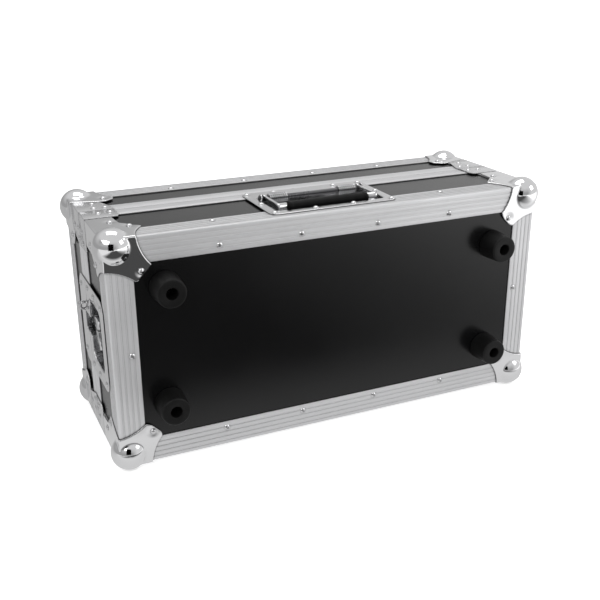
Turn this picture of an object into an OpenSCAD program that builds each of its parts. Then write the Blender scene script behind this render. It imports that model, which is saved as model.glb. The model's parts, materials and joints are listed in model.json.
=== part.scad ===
// Hard equipment case: plywood panels held in aluminium edge angles, with ball corners,
// a lift-off lid, two recessed butterfly latches, a sprung drop handle and four rubber feet.
// It stands on its back, with the handle on top, the feet towards -Y and the lid towards +Y.

/* [Case] */
// Length over the edge angles
case_w = 548; // [440:2:760]
// Depth from the bottom face to the lid face, over the angles
case_d = 204; // [190:1:320]
// Height over the angles as the case stands, its front-to-back size in use
case_h = 269; // [220:1:400]
// Depth of the base, from the bottom face to the closing line
base_d = 113; // [111:1:150]
// Panel thickness
panel_t = 7; // [5:0.5:9]
// Thickness of the foam lining
foam_t = 10; // [6:1:14]

/* [Profiles] */
// Flange width of the edge angles
angle_w = 30; // [26:1:34]
// Wall of the angles and of the closing profiles
angle_t = 1.5; // [1:0.1:2]
// Outer rounding of the angles
angle_r = 2; // [1:0.25:3]
// Width of each shallow groove along a flange
groove_w = 2; // [1:0.25:3]
// Depth of each shallow groove
groove_d = 0.3; // [0.1:0.1:0.5]
// Number of grooves on a flange
groove_n = 4; // [2:1:6]
// Height of a closing profile's outer face
closure_w = 21; // [19:1:24]
// Length by which the tongue enters the groove
tongue_l = 3.4; // [2:0.2:4]
// Thickness of the tongue
tongue_w = 3.2; // [2:0.2:4]
// Clearance beside and under the tongue
tongue_gap = 0.4; // [0.3:0.05:0.8]
// Gap between base and lid at the closing line
split_gap = 0.4; // [0.3:0.05:0.8]

/* [Corners] */
// Radius of a ball corner
ball_r = 21; // [18:0.5:24]
// Inset of a ball's centre from each face
ball_in = 12; // [10:0.5:13]
// Sheet thickness of the ball corners, braces and dishes
sheet_t = 1.5; // [1:0.1:2]
// Length of a corner plate along the case edges
wing_edge = 36; // [32:1:42]
// Distance of a corner plate's tip from the farther case edge
wing_far = 51; // [46:1:56]
// Distance of a corner plate's tip from the nearer case edge
wing_near = 33; // [28:1:38]
// Rounding of a corner plate's tip
tip_r = 10; // [4:1:11]
// Inward bow of the corner plate's sides
wing_bow = 3; // [1:0.5:5]
// Width of the brace strip along a base corner
strip_w = 30; // [26:1:34]
// Length of a closing brace's arms
brace_arm = 39; // [34:1:46]
// Half the depth of the base half of a closing brace
brace_base = 31; // [26:1:32]
// Depth of the lid half of a closing brace at its outer end
brace_lid = 37; // [30:1:40]

/* [Rivets and screws] */
// Radius of a rivet head
rivet_r = 3.6; // [2.5:0.1:4.5]
// Height of a rivet head
rivet_h = 1.8; // [1:0.1:2.4]
// Radius of a rivet shank
shank_r = 1.6; // [1.2:0.1:2.4]
// Distance by which a rivet shank ends short of the panels' inner faces
shank_short = 0.5; // [0:0.1:2]
// Distance of the edge rivets from the edge
rivet_in = 22; // [16:1:25]
// Distance between the edge rivets along the long edges
rivet_pitch = 98; // [70:1:140]

/* [Feet] */
// Radius of a foot at its tip
foot_tip_r = 16.5; // [12:0.5:20]
// Radius of a foot at its root
foot_root_r = 18; // [13:0.5:22]
// Height of a foot above the bottom panel
foot_h = 28; // [18:1:36]
// Radius of the recess in the foot
foot_hole_r = 6.8; // [5:0.2:9]
// Rubber left under the recess
foot_floor = 7; // [5:0.5:10]
// Distance of the feet from the short edges
foot_edge_x = 62; // [58:1:90]
// Distance of the feet from the long edges
foot_edge_z = 65; // [58:1:90]
// Angle by which the feet's pattern is turned on the bottom panel
foot_turn = 1.35; // [0:0.05:1.5]

/* [Handle] */
// Length of the handle's plate
handle_l = 162; // [150:2:190]
// Width of the handle's plate
handle_w = 101; // [99:1:104]
// Distance of the plate from the bottom face
handle_y = 10; // [8:1:12]
// Length of the recess
pit_l = 139; // [130:1:150]
// Width of the recess
pit_w = 68; // [64:1:70]
// Width of the plate beyond the recess, on the lid's side
pit_rim = 21; // [20:0.5:23]
// Depth of the handle and latch recesses below the case's faces
pit_d = 14; // [12:0.5:16]
// Radius of the axle
axle_r = 3; // [2:0.25:4]
// Distance from the axle to the grip
handle_reach = 43; // [38:1:46]
// Length of the grip
grip_l = 104; // [90:2:112]
// Half width of the grip
grip_a = 8.5; // [7:0.5:10]
// Half thickness of the grip
grip_b = 5.8; // [5:0.2:7]
// Coil radius of the torsion springs
spring_r = 4.9; // [4.6:0.1:6]
// Wire radius of the torsion springs
spring_wire = 0.8; // [0.6:0.1:1]
// Turns of a torsion spring
spring_turns = 9; // [6:1:12]

/* [Latch] */
// Width of a latch's plate along the closing line
latch_w = 112; // [100:2:124]
// Reach of the latch's plate over the base
latch_base = 88; // [84:1:92]
// Reach of the latch's plate over the lid
latch_lid = 39; // [36:1:42]
// Distance of the key's axis from the closing line
key_in = 41; // [38:1:44]
// Width of the key's recess along the closing line
key_pit_w = 76; // [66:1:84]
// Width of the key's recess across the closing line
key_pit_d = 60; // [56:1:62]
// Width of the channel for the claw
channel_w = 24; // [20:1:30]
// Half length of the folding key along the closing line
key_half = 18; // [14:1:20]
// Reach of the folding key
key_reach = 20; // [16:1:22]
// Throw of the cam that draws the claw
cam_throw = 4.5; // [3:0.25:5]
// Radius of a padlock eye's hole
eye_r = 3.3; // [2.5:0.1:4]

/* [Hidden] */
fine = 48;
FRONT = 0; // the handle's side, +Z
RIGHT = 1;
BACK = 2;
LEFT = 3;
// Origin of the row: under the middle of the whole object, feet and balls counted
foot_out = foot_h - angle_t;
ball_out = ball_r - ball_in;
y_mid = (case_d + ball_out - foot_out) / 2;
// Faces of the panels, measured inwards from the case's outer faces
panel_in = angle_t + panel_t;
shank_l = panel_in - shank_short;
lid_y = base_d + split_gap;
groove_pitch = angle_w / (groove_n + 1);
mitre_gap = 0.1;
fit_gap = 0.3;
long = 2 * (case_w + case_d + case_h);
// Corner notch that leaves room under the ball corners
notch = 4.2;
// Closing profile: web height, inner flange, groove
web_h = 6;
inner_flange = 12;
tongue_in = angle_t + panel_t / 2;
// Handle places; the axle lies a little above the side's face
handle_far = handle_y + handle_w;
handle_corner = 9;
pit_y = handle_far - pit_rim - pit_w;
axle_y = pit_y + pit_w - 11;
axle_rise = 1.5;
dish_wall = 1.2;
arm_x = 61;
arm_t = 3;
arm_half = 4;
nut_r = 4.6;
ear_x = 66;
ear_t = 2;
ear_r = 6;
spring_pitch = 2.6;
spring_start = 34;
handle_rivet_r = 3.9;
handle_rivet_h = 2.4;
// Latch places, in the side's own frame: x along the side, y across the closing line, z outwards
key_y = base_d - key_in;
cam_y = key_y - cam_throw;
cam_r = 9;
cam_gap = 1.3;
spindle_r = 4.2;
washer_r = 11;
washer_h = 2;
claw_top = -5.8;
claw_t = 2.5;
claw_w = 14;
claw_rim = 3.5;
claw_tip = base_d + 8;
// End of the claw's channel in the lid
channel_far = claw_tip + 2 * cam_throw + 1.2;
keeper_in = 1.5;
keeper_t = 2.5;
pin_z = -3.25;
pin_r = 1.5;
barrel_r = 2.2;
key_t = 2.5;
head_w = 12;
head_half = 4;
head_h = 5.6;
head_gap = 0.4;
running_gap = 0.06;
eye_x = 24;
eye_rim = 2;
eye_z = sheet_t + eye_r + 0.7;
eye_t = 2;
latch_corner = 15;
latch_pit_corner = 12;
strike_corner = 12;
strike_rivet_in = 14;
strike_rivet_y = 28.5;
// Foot fixing
screw_r = 2.4;
screw_gap = 0.2;
washer_t = 1.2;
screw_head_r = 4.6;
screw_head_h = 2.6;
// Corner plates: the brace's and the strip's ends, and the lid plate's straight edge
brace_end = base_d - brace_base - split_gap;
strip_end = brace_end - 2.5;
lid_edge = 41;
wing_rivet = 38.5;
// Circle that bows a corner plate's side inwards, between its edge point and its tip
wing_p = [wing_edge, 0];
wing_q = [wing_far, wing_near];
wing_chord = norm(wing_q - wing_p);
bow_r = (wing_chord * wing_chord / 4 + wing_bow * wing_bow) / (2 * wing_bow);
bow_c = (wing_p + wing_q) / 2
    + (bow_r - wing_bow) * [wing_q[1], wing_p[0] - wing_q[0]] / wing_chord;

// ---- outline helpers ----
function unit(v) = v / norm(v);
// Points that round the corner at p, between the previous point a and the next point b
function turn(p, a, b, r, n = 5) =
    let (u = unit(a - p), w = unit(b - p), half = acos(u * w) / 2,
         c = p + unit(u + w) * r / sin(half), s = p + u * r / tan(half), e = p + w * r / tan(half),
         a0 = atan2(s[1] - c[1], s[0] - c[0]), a1 = atan2(e[1] - c[1], e[0] - c[0]),
         da = (a1 - a0 + 540) % 360 - 180)
    [for (i = [0:n]) c + r * [cos(a0 + da * i / n), sin(a0 + da * i / n)]];
// Outline with a radius for each corner, 0 for a sharp one
function rounded(pts, radii) =
    let (k = len(pts))
    [for (i = [0:k - 1]) each radii[i] == 0 ? [pts[i]]
        : turn(pts[i], pts[(i + k - 1) % k], pts[(i + 1) % k], radii[i])];
function box_points(x0, y0, x1, y1) = [[x0, y0], [x1, y0], [x1, y1], [x0, y1]];

// ---- placing helpers ----
// Case frame: x from the middle, y from the bottom face, z from the lower face
module seat() { translate([0, -y_mid, ball_out]) children(); }
// A side's own frame: x along the side, y as the case, z outwards from the side's face
module on_side(side) {
    reach = side % 2 == 0 ? case_h / 2 : case_w / 2;
    translate([0, 0, case_h / 2]) rotate([0, 90 * side, 0]) translate([0, 0, reach]) children();
}
function run_length(side) = side % 2 == 0 ? case_w : case_h;
// A box corner's own frame, with the case in its positive octant
module at_corner(right, far, up) {
    translate([(right ? 1 : -1) * case_w / 2, far ? case_d : 0, up ? case_h : 0])
        mirror([right ? 1 : 0, 0, 0]) mirror([0, far ? 1 : 0, 0]) mirror([0, 0, up ? 1 : 0])
            children();
}
module four_corners(far) {
    for (right = [false, true], up = [false, true]) at_corner(right, far, up) children();
}
module right_or_left(right) { mirror([right ? 1 : 0, 0, 0]) children(); }

// ---- profile helpers: 2D x is the distance inwards from the side's face, 2D y is the depth ----
// Prism whose ends are cut at 45 degrees, so that four of them meet round the case
module mitred(side) {
    l = run_length(side) / 2;
    out = 2;
    deep = 60;
    intersection() {
        rotate([0, 90, 0]) linear_extrude(long, center = true) children();
        rotate([90, 0, 0]) linear_extrude(long, center = true)
            polygon([[-l - out + mitre_gap, out], [l + out - mitre_gap, out],
                     [l - deep - mitre_gap, -deep], [-l + deep + mitre_gap, -deep]]);
    }
}
// L-shaped section with a rounded outer edge and shallow grooves on both flanges
module angle_section() {
    difference() {
        square(angle_w);
        translate([angle_t, angle_t]) square(angle_w);
        difference() {
            square(angle_r);
            translate([angle_r, angle_r]) circle(angle_r, $fn = fine);
        }
        for (i = [1:groove_n]) {
            translate([i * groove_pitch - groove_w / 2, -1]) square([groove_w, 1 + groove_d]);
            translate([-1, i * groove_pitch - groove_w / 2]) square([1 + groove_d, groove_w]);
        }
    }
}
// Closing profile without its groove or tongue, with its face at y = 0 and the panel below
module closure_section() {
    translate([0, -closure_w]) square([angle_t, closure_w]);
    translate([0, -web_h]) square([panel_in + angle_t, web_h]);
    translate([panel_in, -inner_flange]) square([angle_t, inner_flange]);
}
module corner_notches(side) {
    for (s = [-1, 1]) translate([s * run_length(side) / 2, 0, 0]) cube(2 * notch, center = true);
}

// ---- openings through the walls ----
// Hole for the handle's recess, in the front side's frame
module handle_hole() {
    grow = dish_wall + fit_gap;
    translate([-pit_l / 2 - grow, pit_y - grow, -long / 2])
        cube([pit_l + 2 * grow, pit_w + 2 * grow, long]);
}
// Hole for a latch's recess and its claw channel, in the side's frame
module latch_hole() {
    grow = dish_wall + fit_gap;
    translate([-key_pit_w / 2 - grow, key_y - key_pit_d / 2 - grow, -panel_in - foam_t - 1])
        cube([key_pit_w + 2 * grow, key_pit_d + 2 * grow, panel_in + foam_t + 3]);
    translate([-channel_w / 2 - grow, key_y, -panel_in - foam_t - 1])
        cube([channel_w + 2 * grow, channel_far + grow - key_y, panel_in + foam_t + 3]);
}
module side_holes(side) {
    if (side == FRONT) handle_hole();
    if (side == LEFT || side == RIGHT) latch_hole();
}

// ---- panels ----
module end_panel(y) {
    color("#1b1b1c") seat() difference() {
        translate([-case_w / 2 + angle_t, y, angle_t])
            cube([case_w - 2 * angle_t, panel_t, case_h - 2 * angle_t]);
        for (far = [false, true]) four_corners(far) cube(2 * notch, center = true);
    }
}
// Side panel between two depths; the long ones run past the short ones
module side_panel(side, y0, y1) {
    inset = side % 2 == 0 ? angle_t : panel_in;
    l = run_length(side) - 2 * inset;
    color("#232324") seat() on_side(side) difference() {
        translate([-l / 2, y0, -panel_in]) cube([l, y1 - y0, panel_t]);
        side_holes(side);
    }
}
module base_panel(side) { side_panel(side, panel_in, base_d - web_h); }
module lid_side_panel(side) { side_panel(side, lid_y + web_h, case_d - panel_in); }

// ---- angles ----
module base_angle(side) {
    color("#c9cacc") seat() on_side(side) difference() {
        mitred(side) angle_section();
        corner_notches(side);
        side_holes(side);
    }
}
module lid_angle(side) {
    color("#c9cacc") seat() on_side(side) translate([0, case_d, 0]) mirror([0, 1, 0])
        difference() {
            mitred(side) angle_section();
            corner_notches(side);
        }
}
module corner_angles(far, y1) {
    color("#c9cacc") seat() four_corners(far)
        translate([0, y1, 0]) rotate([90, 0, 0])
            linear_extrude(y1 - angle_w - mitre_gap) angle_section();
}
module base_corner_angles() { corner_angles(false, base_d - closure_w - mitre_gap); }
module lid_corner_angles() { corner_angles(true, case_d - lid_y - closure_w - mitre_gap); }

// ---- closing profiles ----
module base_closure(side) {
    color("#cdced0") seat() on_side(side) difference() {
        translate([0, base_d, 0]) mitred(side) difference() {
            closure_section();
            translate([tongue_in - tongue_w / 2 - tongue_gap, -tongue_l - tongue_gap])
                square([tongue_w + 2 * tongue_gap, long]);
        }
        side_holes(side);
    }
}
module lid_closure(side) {
    color("#cdced0") seat() on_side(side) difference() {
        translate([0, lid_y, 0]) mitred(side) {
            mirror([0, 1]) closure_section();
            translate([tongue_in - tongue_w / 2, -tongue_l]) square([tongue_w, tongue_l + 1]);
        }
        if (side != FRONT) side_holes(side);
    }
}

// ---- ball corners and braces, in a box corner's frame ----
// Space of the case's own corner, with its notched tip left out
module corner_block() {
    difference() {
        cube(long);
        translate([-1, -1, -1]) cube(notch + 1 - fit_gap);
    }
}
// Plate with one bowed side, against the plane z = 0
module bowed_plate(pts, radii) {
    translate([0, 0, -sheet_t]) linear_extrude(sheet_t) difference() {
        polygon(rounded(pts, radii));
        translate(bow_c) circle(bow_r, $fn = 2 * fine);
        children();
    }
}
module end_wing(r) {
    bowed_plate([[0, 0], wing_p, wing_q, [wing_near, wing_far], [0, wing_edge]], [0, 0, r, r, 0])
        translate([bow_c[1], bow_c[0]]) circle(bow_r, $fn = 2 * fine);
}
module base_side_plate() {
    bowed_plate([[0, 0], [wing_edge, 0], [wing_far, wing_near], [strip_w + 1, wing_far + 3],
                 [strip_w - 1, strip_end], [0, strip_end]], [0, 0, 5, 6, 3, 0]);
}
module lid_side_plate() {
    bowed_plate([[0, 0], [wing_edge, 0], [wing_far, wing_near - 2], [wing_far - 1, 43],
                 [wing_edge + 3, wing_far + 1], [strip_w, wing_far], [0, lid_edge]],
                [0, 0, 5, 7, 5, 3, 0]);
}
// Swaps x with z, and y with z
module swap_xz() { mirror([1, 0, -1]) children(); }
module swap_yz() { mirror([0, 1, -1]) children(); }
// Rounded bend of the sheet along one edge
module bend(l) { cylinder(r = sheet_t, h = l, $fn = fine); }
module ball_corner(strip, r) {
    c = [ball_in, ball_in, ball_in];
    side_edge = strip ? strip_end : lid_edge;
    difference() {
        union() {
            translate(c) sphere(ball_r, $fn = fine);
            if (strip) { base_side_plate(); } else { lid_side_plate(); }
            swap_xz() { if (strip) { base_side_plate(); } else { lid_side_plate(); } }
            swap_yz() end_wing(r);
            swap_yz() bend(side_edge);
            bend(wing_edge);
            swap_xz() bend(wing_edge);
        }
        translate(c) sphere(ball_r - sheet_t, $fn = fine);
        corner_block();
    }
}
// Brace over the closing profiles: an outline on both faces and a bend along the corner
module brace(pts, radii, y0, y1) {
    difference() {
        union() {
            for (k = [0, 1]) mirror([k, 0, -k]) translate([0, 0, -sheet_t])
                linear_extrude(sheet_t) polygon(rounded(pts, radii));
            translate([0, y0, 0]) swap_yz() bend(y1 - y0);
        }
        cube(long);
    }
}
module base_braces() {
    y0 = brace_end;
    y1 = base_d;
    color("#c4c5c8") seat() four_corners(false)
        brace([[0, y0], [brace_arm - 3, y0], [brace_arm, y0 + 5], [brace_arm, y1], [0, y1]],
              [0, 2, 2, 0, 0], y0, y1);
}
module lid_braces() {
    // depths count from the lid's face, because a far corner's frame is mirrored
    y1 = case_d - lid_y;
    y0 = y1 - brace_lid;
    color("#c4c5c8") seat() four_corners(true)
        brace([[0, y0 - 10], [strip_w, y0], [brace_arm + 1, y1 - 5], [brace_arm, y1], [0, y1]],
              [0, 3, 2, 0, 0], y0 - 10, y1);
}
// The upper left base corner has a squarer tip than the others
module base_ball_corners() {
    color("#b9babd") seat() for (right = [false, true], up = [false, true])
        at_corner(right, false, up) ball_corner(true, up && !right ? tip_r / 2 : tip_r);
}
module lid_ball_corners() { color("#b9babd") seat() four_corners(true) ball_corner(false, tip_r); }

// ---- rivets: the head stands on z = base, the shank goes into the wall below z = 0 ----
module rivet(base, r = rivet_r, h = rivet_h) {
    ball = (r * r + h * h) / (2 * h);
    intersection() {
        translate([0, 0, base + h - ball]) sphere(ball, $fn = fine);
        translate([0, 0, base]) cylinder(r = r + 1, h = h + 1, $fn = fine);
    }
    translate([0, 0, -shank_l]) cylinder(r = shank_r, h = shank_l + base + h / 2, $fn = fine);
}
function edge_places(side) =
    side % 2 == 0 ? [-1.5 * rivet_pitch, -rivet_pitch / 2, rivet_pitch / 2, 1.5 * rivet_pitch]
                  : [0];
// Rivets through both flanges of the four angles round one end
module edge_rivets(hidden) {
    for (side = [0:3], x = edge_places(side)) on_side(side) {
        translate([x, 0, -rivet_in]) rotate([90, 0, 0]) rivet(0);
        if (!(hidden && covered(side, x))) translate([x, rivet_in, 0]) rivet(0);
    }
}
// True where the handle's or a latch's plate covers an edge rivet's place
function covered(side, x) = side == FRONT ? abs(x) < handle_l / 2 + rivet_r : side % 2 == 1;
module base_edge_rivets() { color("#dcdcde") seat() edge_rivets(true); }
module lid_edge_rivets() {
    color("#dcdcde") seat() translate([0, case_d, 0]) mirror([0, 1, 0]) edge_rivets(false);
}
// Rivets at places on both sides of a corner, seen from outside
module side_rivets(places) {
    for (k = [0, 1], p = places) mirror([k, 0, -k])
        translate([p[0], p[1], 0]) mirror([0, 0, 1]) rivet(sheet_t);
}
module end_rivet() {
    swap_yz() translate([wing_rivet, wing_rivet, 0]) mirror([0, 0, 1]) rivet(sheet_t);
}
module base_corner_rivets() {
    color("#dcdcde") seat() four_corners(false) {
        side_rivets([[wing_rivet, wing_rivet], [strip_w - 8, wing_far + 8],
                     [strip_w - 12, base_d - 14], [strip_w + 2, base_d - 12]]);
        end_rivet();
    }
}
module lid_corner_rivets() {
    y = case_d - lid_y;
    color("#dcdcde") seat() four_corners(true) {
        side_rivets([[wing_rivet, wing_rivet - 1], [strip_w - 12, y - 9], [strip_w + 1, y - 9],
                     [strip_w - 10, y - 29]]);
        end_rivet();
    }
}

// ---- feet ----
module at_feet() {
    for (sx = [-1, 1], sz = [-1, 1])
        translate([0, angle_t, case_h / 2]) rotate([0, foot_turn, 0])
            translate([sx * (case_w / 2 - foot_edge_x), 0, sz * (case_h / 2 - foot_edge_z)])
                rotate([90, 0, 0]) children();
}
module rubber_feet() {
    color("#141414") seat() at_feet() difference() {
        rotate_extrude($fn = 2 * fine)
            polygon([[0, 0], [foot_root_r, 0], [foot_root_r, 3], [foot_tip_r, foot_h - 1.5],
                     [foot_tip_r - 1.5, foot_h], [0, foot_h]]);
        translate([0, 0, foot_floor]) cylinder(r = foot_hole_r, h = foot_h, $fn = fine);
        translate([0, 0, -1]) cylinder(r = screw_r + screw_gap, h = foot_h, $fn = fine);
    }
}
module foot_washers() {
    color("#8b8c8e") seat() at_feet() translate([0, 0, foot_floor]) difference() {
        cylinder(r = foot_hole_r - 0.4, h = washer_t, $fn = fine);
        translate([0, 0, -1]) cylinder(r = screw_r + screw_gap, h = 2 + washer_t, $fn = fine);
    }
}
module foot_screws() {
    head_z = foot_floor + washer_t;
    color("#9a9b9d") seat() at_feet() {
        translate([0, 0, -panel_t + 0.5])
            cylinder(r = screw_r, h = head_z + panel_t, $fn = fine);
        translate([0, 0, head_z]) difference() {
            intersection() {
                cylinder(r = screw_head_r, h = 3, $fn = fine);
                translate([0, 0, screw_head_h - 6]) sphere(6, $fn = fine);
            }
            // cross recess
            for (a = [0, 90]) rotate([0, 0, a])
                translate([-screw_head_r / 2, -0.5, washer_t]) cube([screw_head_r, 1, 3]);
        }
    }
}

// ---- foam lining: a tub with windows where the dishes come through ----
module foam_tub(y_floor, y_edge) {
    y0 = min(y_floor, y_edge);
    difference() {
        translate([-case_w / 2 + panel_in, y0, panel_in])
            cube([case_w - 2 * panel_in, abs(y_edge - y_floor), case_h - 2 * panel_in]);
        translate([-case_w / 2 + panel_in + foam_t, y_floor < y_edge ? y0 + foam_t : y0 - 1,
                   panel_in + foam_t])
            cube([case_w - 2 * (panel_in + foam_t), abs(y_edge - y_floor) - foam_t + 1,
                  case_h - 2 * (panel_in + foam_t)]);
        on_side(FRONT) handle_hole();
        on_side(LEFT) latch_hole();
        on_side(RIGHT) latch_hole();
    }
}
module base_foam() { color("#2c2c2e") seat() foam_tub(panel_in, base_d - inner_flange - 0.5); }
module lid_foam() { color("#2c2c2e") seat() foam_tub(case_d - panel_in, lid_y + inner_flange + 0.5); }

// ---- handle, in the front side's frame ----
module pressed_tray(x0, y0, x1, y1, r, floor) {
    pts = rounded(box_points(x0, y0, x1, y1), [r, r, r, r]);
    w = dish_wall;
    outer = rounded(box_points(x0 - w, y0 - w, x1 + w, y1 + w), [r + w, r + w, r + w, r + w]);
    difference() {
        union() {
            children();
            translate([0, 0, -floor - w]) linear_extrude(floor + w + 0.1) polygon(outer);
        }
        translate([0, 0, -floor]) linear_extrude(floor + 20) polygon(pts);
    }
}
module handle_dish() {
    x = handle_l / 2;
    corner = handle_corner;
    color("#c2c3c6") seat() on_side(FRONT) {
        pressed_tray(-pit_l / 2, pit_y, pit_l / 2, pit_y + pit_w, 6, pit_d)
            linear_extrude(sheet_t)
                polygon(rounded(box_points(-x, handle_y, x, handle_far),
                                [corner, corner, corner, corner]));
        for (s = [-1, 1]) translate([s * (ear_x + ear_t / 2), axle_y, 0]) difference() {
            union() {
                translate([-ear_t / 2, -ear_r, -pit_d - 0.5])
                    cube([ear_t, 2 * ear_r, pit_d + 0.5 + axle_rise]);
                translate([0, 0, axle_rise]) rotate([0, 90, 0])
                    cylinder(r = ear_r, h = ear_t, center = true, $fn = fine);
            }
            translate([0, 0, axle_rise]) rotate([0, 90, 0])
                cylinder(r = axle_r + running_gap, h = 10, center = true, $fn = fine);
        }
    }
}
module handle_rivets() {
    x = (handle_l + pit_l) / 4;
    near = (handle_y + pit_y) / 2 - 0.4;
    far = handle_far - 8;
    color("#dcdcde") seat() on_side(FRONT) {
        for (s = [-1, 1]) {
            for (p = [[x, near], [x, pit_y + pit_w / 2], [x, far], [handle_l * 0.15, near],
                      [handle_l * 0.25, far]])
                translate([s * p[0], p[1], 0]) rivet(sheet_t, handle_rivet_r, handle_rivet_h);
        }
    }
}
module handle_axle() {
    color("#b0b1b4") seat() on_side(FRONT) translate([0, axle_y, axle_rise]) rotate([0, 90, 0]) {
        half = ear_x + ear_t + 0.2;
        cylinder(r = axle_r, h = 2 * half, center = true, $fn = fine);
        for (s = [-1, 1]) translate([0, 0, s * (half + 0.35)])
            cylinder(r = axle_r + 0.9, h = 0.9, center = true, $fn = fine);
    }
}
// Wire swept along a coil, as one closed polyhedron
module coil(r, wire, pitch, turns) {
    steps = turns * 12;
    ring = 6;
    pts = [for (i = [0:steps], j = [0:ring - 1])
        let (a = 360 * turns * i / steps, b = 360 * j / ring, q = r + wire * cos(b))
        [q * cos(a), q * sin(a), pitch * turns * i / steps + wire * sin(b)]];
    faces = concat(
        [[for (j = [0:ring - 1]) j]],
        [[for (j = [ring - 1:-1:0]) steps * ring + j]],
        [for (i = [0:steps - 1], j = [0:ring - 1])
            let (k = (j + 1) % ring)
            [i * ring + j, (i + 1) * ring + j, (i + 1) * ring + k, i * ring + k]]);
    polyhedron(pts, faces);
}
module handle_springs() {
    color("#d2d3d5") seat() on_side(FRONT)
        for (s = [-1, 1]) translate([s * spring_start, axle_y, axle_rise]) rotate([0, s * 90, 0])
            coil(spring_r, spring_wire, spring_pitch, spring_turns);
}
module handle_bail() {
    y = axle_y - handle_reach;
    nut_l = arm_x - grip_l / 2 - 0.2;
    color("#c6c7ca") seat() on_side(FRONT) translate([0, 0, axle_rise]) {
        for (s = [-1, 1]) translate([s * (arm_x + arm_t / 2), 0, 0]) difference() {
            union() {
                for (p = [y, axle_y]) translate([0, p, 0]) rotate([0, 90, 0])
                    cylinder(r = arm_half + 0.8, h = arm_t, center = true, $fn = fine);
                translate([-arm_t / 2, y, -arm_half]) cube([arm_t, handle_reach, 2 * arm_half]);
            }
            translate([0, axle_y, 0]) rotate([0, 90, 0])
                cylinder(r = axle_r + running_gap, h = 2 * arm_t, center = true, $fn = fine);
        }
        translate([0, y, 0]) rotate([0, 90, 0])
            cylinder(r = axle_r, h = 2 * arm_x + 1, center = true, $fn = fine);
        for (s = [-1, 1]) translate([s * (arm_x - nut_l / 2), y, 0]) rotate([0, 90, 0])
            cylinder(r = nut_r, h = nut_l, center = true, $fn = fine);
    }
}
module handle_grip() {
    y = axle_y - handle_reach;
    color("#101010") seat() on_side(FRONT) translate([0, y, axle_rise]) rotate([0, 90, 0])
        difference() {
            union() {
                for (s = [-1, 1]) translate([0, s * (grip_a - grip_b), 0])
                    cylinder(r = grip_b, h = grip_l, center = true, $fn = fine);
                cube([2 * grip_b, 2 * (grip_a - grip_b), grip_l], center = true);
            }
            cylinder(r = axle_r, h = 2 * grip_l, center = true, $fn = fine);
        }
}

// ---- latches, built on the left side and mirrored for the right ----
module latch(right) { right_or_left(right) seat() on_side(LEFT) children(); }
// Ring that takes a padlock's shackle, with a foot on the plate
module padlock_eye(y) {
    translate([eye_x, y, eye_z]) rotate([90, 0, 0]) difference() {
        union() {
            cylinder(r = eye_r + eye_rim, h = eye_t, center = true, $fn = fine);
            translate([-eye_r - eye_rim / 2, -eye_z + 0.5, -eye_t / 2])
                cube([2 * eye_r + eye_rim, eye_z, eye_t]);
        }
        cylinder(r = eye_r, h = 10, center = true, $fn = fine);
    }
}
module latch_dish(right) {
    y0 = base_d - latch_base;
    x = latch_w / 2;
    color("#c2c3c6") latch(right) difference() {
        union() {
            pressed_tray(-key_pit_w / 2, key_y - key_pit_d / 2, key_pit_w / 2,
                         key_y + key_pit_d / 2, latch_pit_corner, pit_d) {
                linear_extrude(sheet_t)
                    polygon(rounded(box_points(-x, y0, x, base_d), [latch_corner, latch_corner, 0, 0]));
                // outer shell of the claw's channel
                translate([-channel_w / 2 - dish_wall, key_y, -pit_d - dish_wall])
                    cube([channel_w + 2 * dish_wall, base_d - key_y, pit_d + dish_wall + 0.1]);
            }
            padlock_eye(base_d - eye_t);
        }
        translate([-channel_w / 2, key_y, -pit_d]) cube([channel_w, key_in + 1, pit_d + 3]);
        translate([0, key_y, -pit_d - 5]) cylinder(r = spindle_r + running_gap, h = 10, $fn = fine);
    }
}
module strike_dish(right) {
    y1 = base_d + latch_lid;
    x = latch_w / 2;
    color("#c2c3c6") latch(right) {
        difference() {
            union() {
                linear_extrude(sheet_t)
                    polygon(rounded([[-x, lid_y], [x, lid_y], [x, y1 - strike_corner], [x - 10, y1],
                                     [-x + 10, y1], [-x, y1 - strike_corner]],
                                    [0, 0, 8, strike_corner, strike_corner, 8]));
                translate([-channel_w / 2 - dish_wall, lid_y, -pit_d - dish_wall])
                    cube([channel_w + 2 * dish_wall, channel_far - lid_y + dish_wall,
                          pit_d + dish_wall + 0.1]);
                padlock_eye(lid_y + eye_t);
            }
            translate([-channel_w / 2, lid_y - 1, -pit_d])
                cube([channel_w, channel_far - lid_y + 1, pit_d + 3]);
        }
        // Keeper: the bar that the claw draws on
        translate([-channel_w / 2 - 0.5, lid_y + keeper_in, -pit_d - 0.5])
            cube([channel_w + 1, keeper_t, pit_d + 0.5 + claw_top - claw_t - fit_gap]);
    }
}
module latch_hub(right) {
    under = -pit_d - dish_wall;
    color("#aeafb2") latch(right) translate([0, key_y, 0]) {
        // retaining head, spindle, washer and cam
        translate([0, 0, under - 1.3]) cylinder(r = spindle_r + 2.3, h = 1.2, $fn = fine);
        translate([0, 0, under - 0.5])
            cylinder(r = spindle_r, h = claw_top - under + 0.9, $fn = fine);
        translate([0, 0, -pit_d + 0.1]) cylinder(r = washer_r, h = washer_h, $fn = fine);
        translate([0, -cam_throw, claw_top - claw_t]) cylinder(r = cam_r, h = claw_t, $fn = fine);
        difference() {
            translate([-head_w / 2, -head_half, claw_top]) cube([head_w, 2 * head_half, head_h]);
            translate([0, 0, pin_z]) rotate([0, 90, 0])
                cylinder(r = pin_r + running_gap, h = 2 * head_w, center = true, $fn = fine);
        }
    }
}
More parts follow.
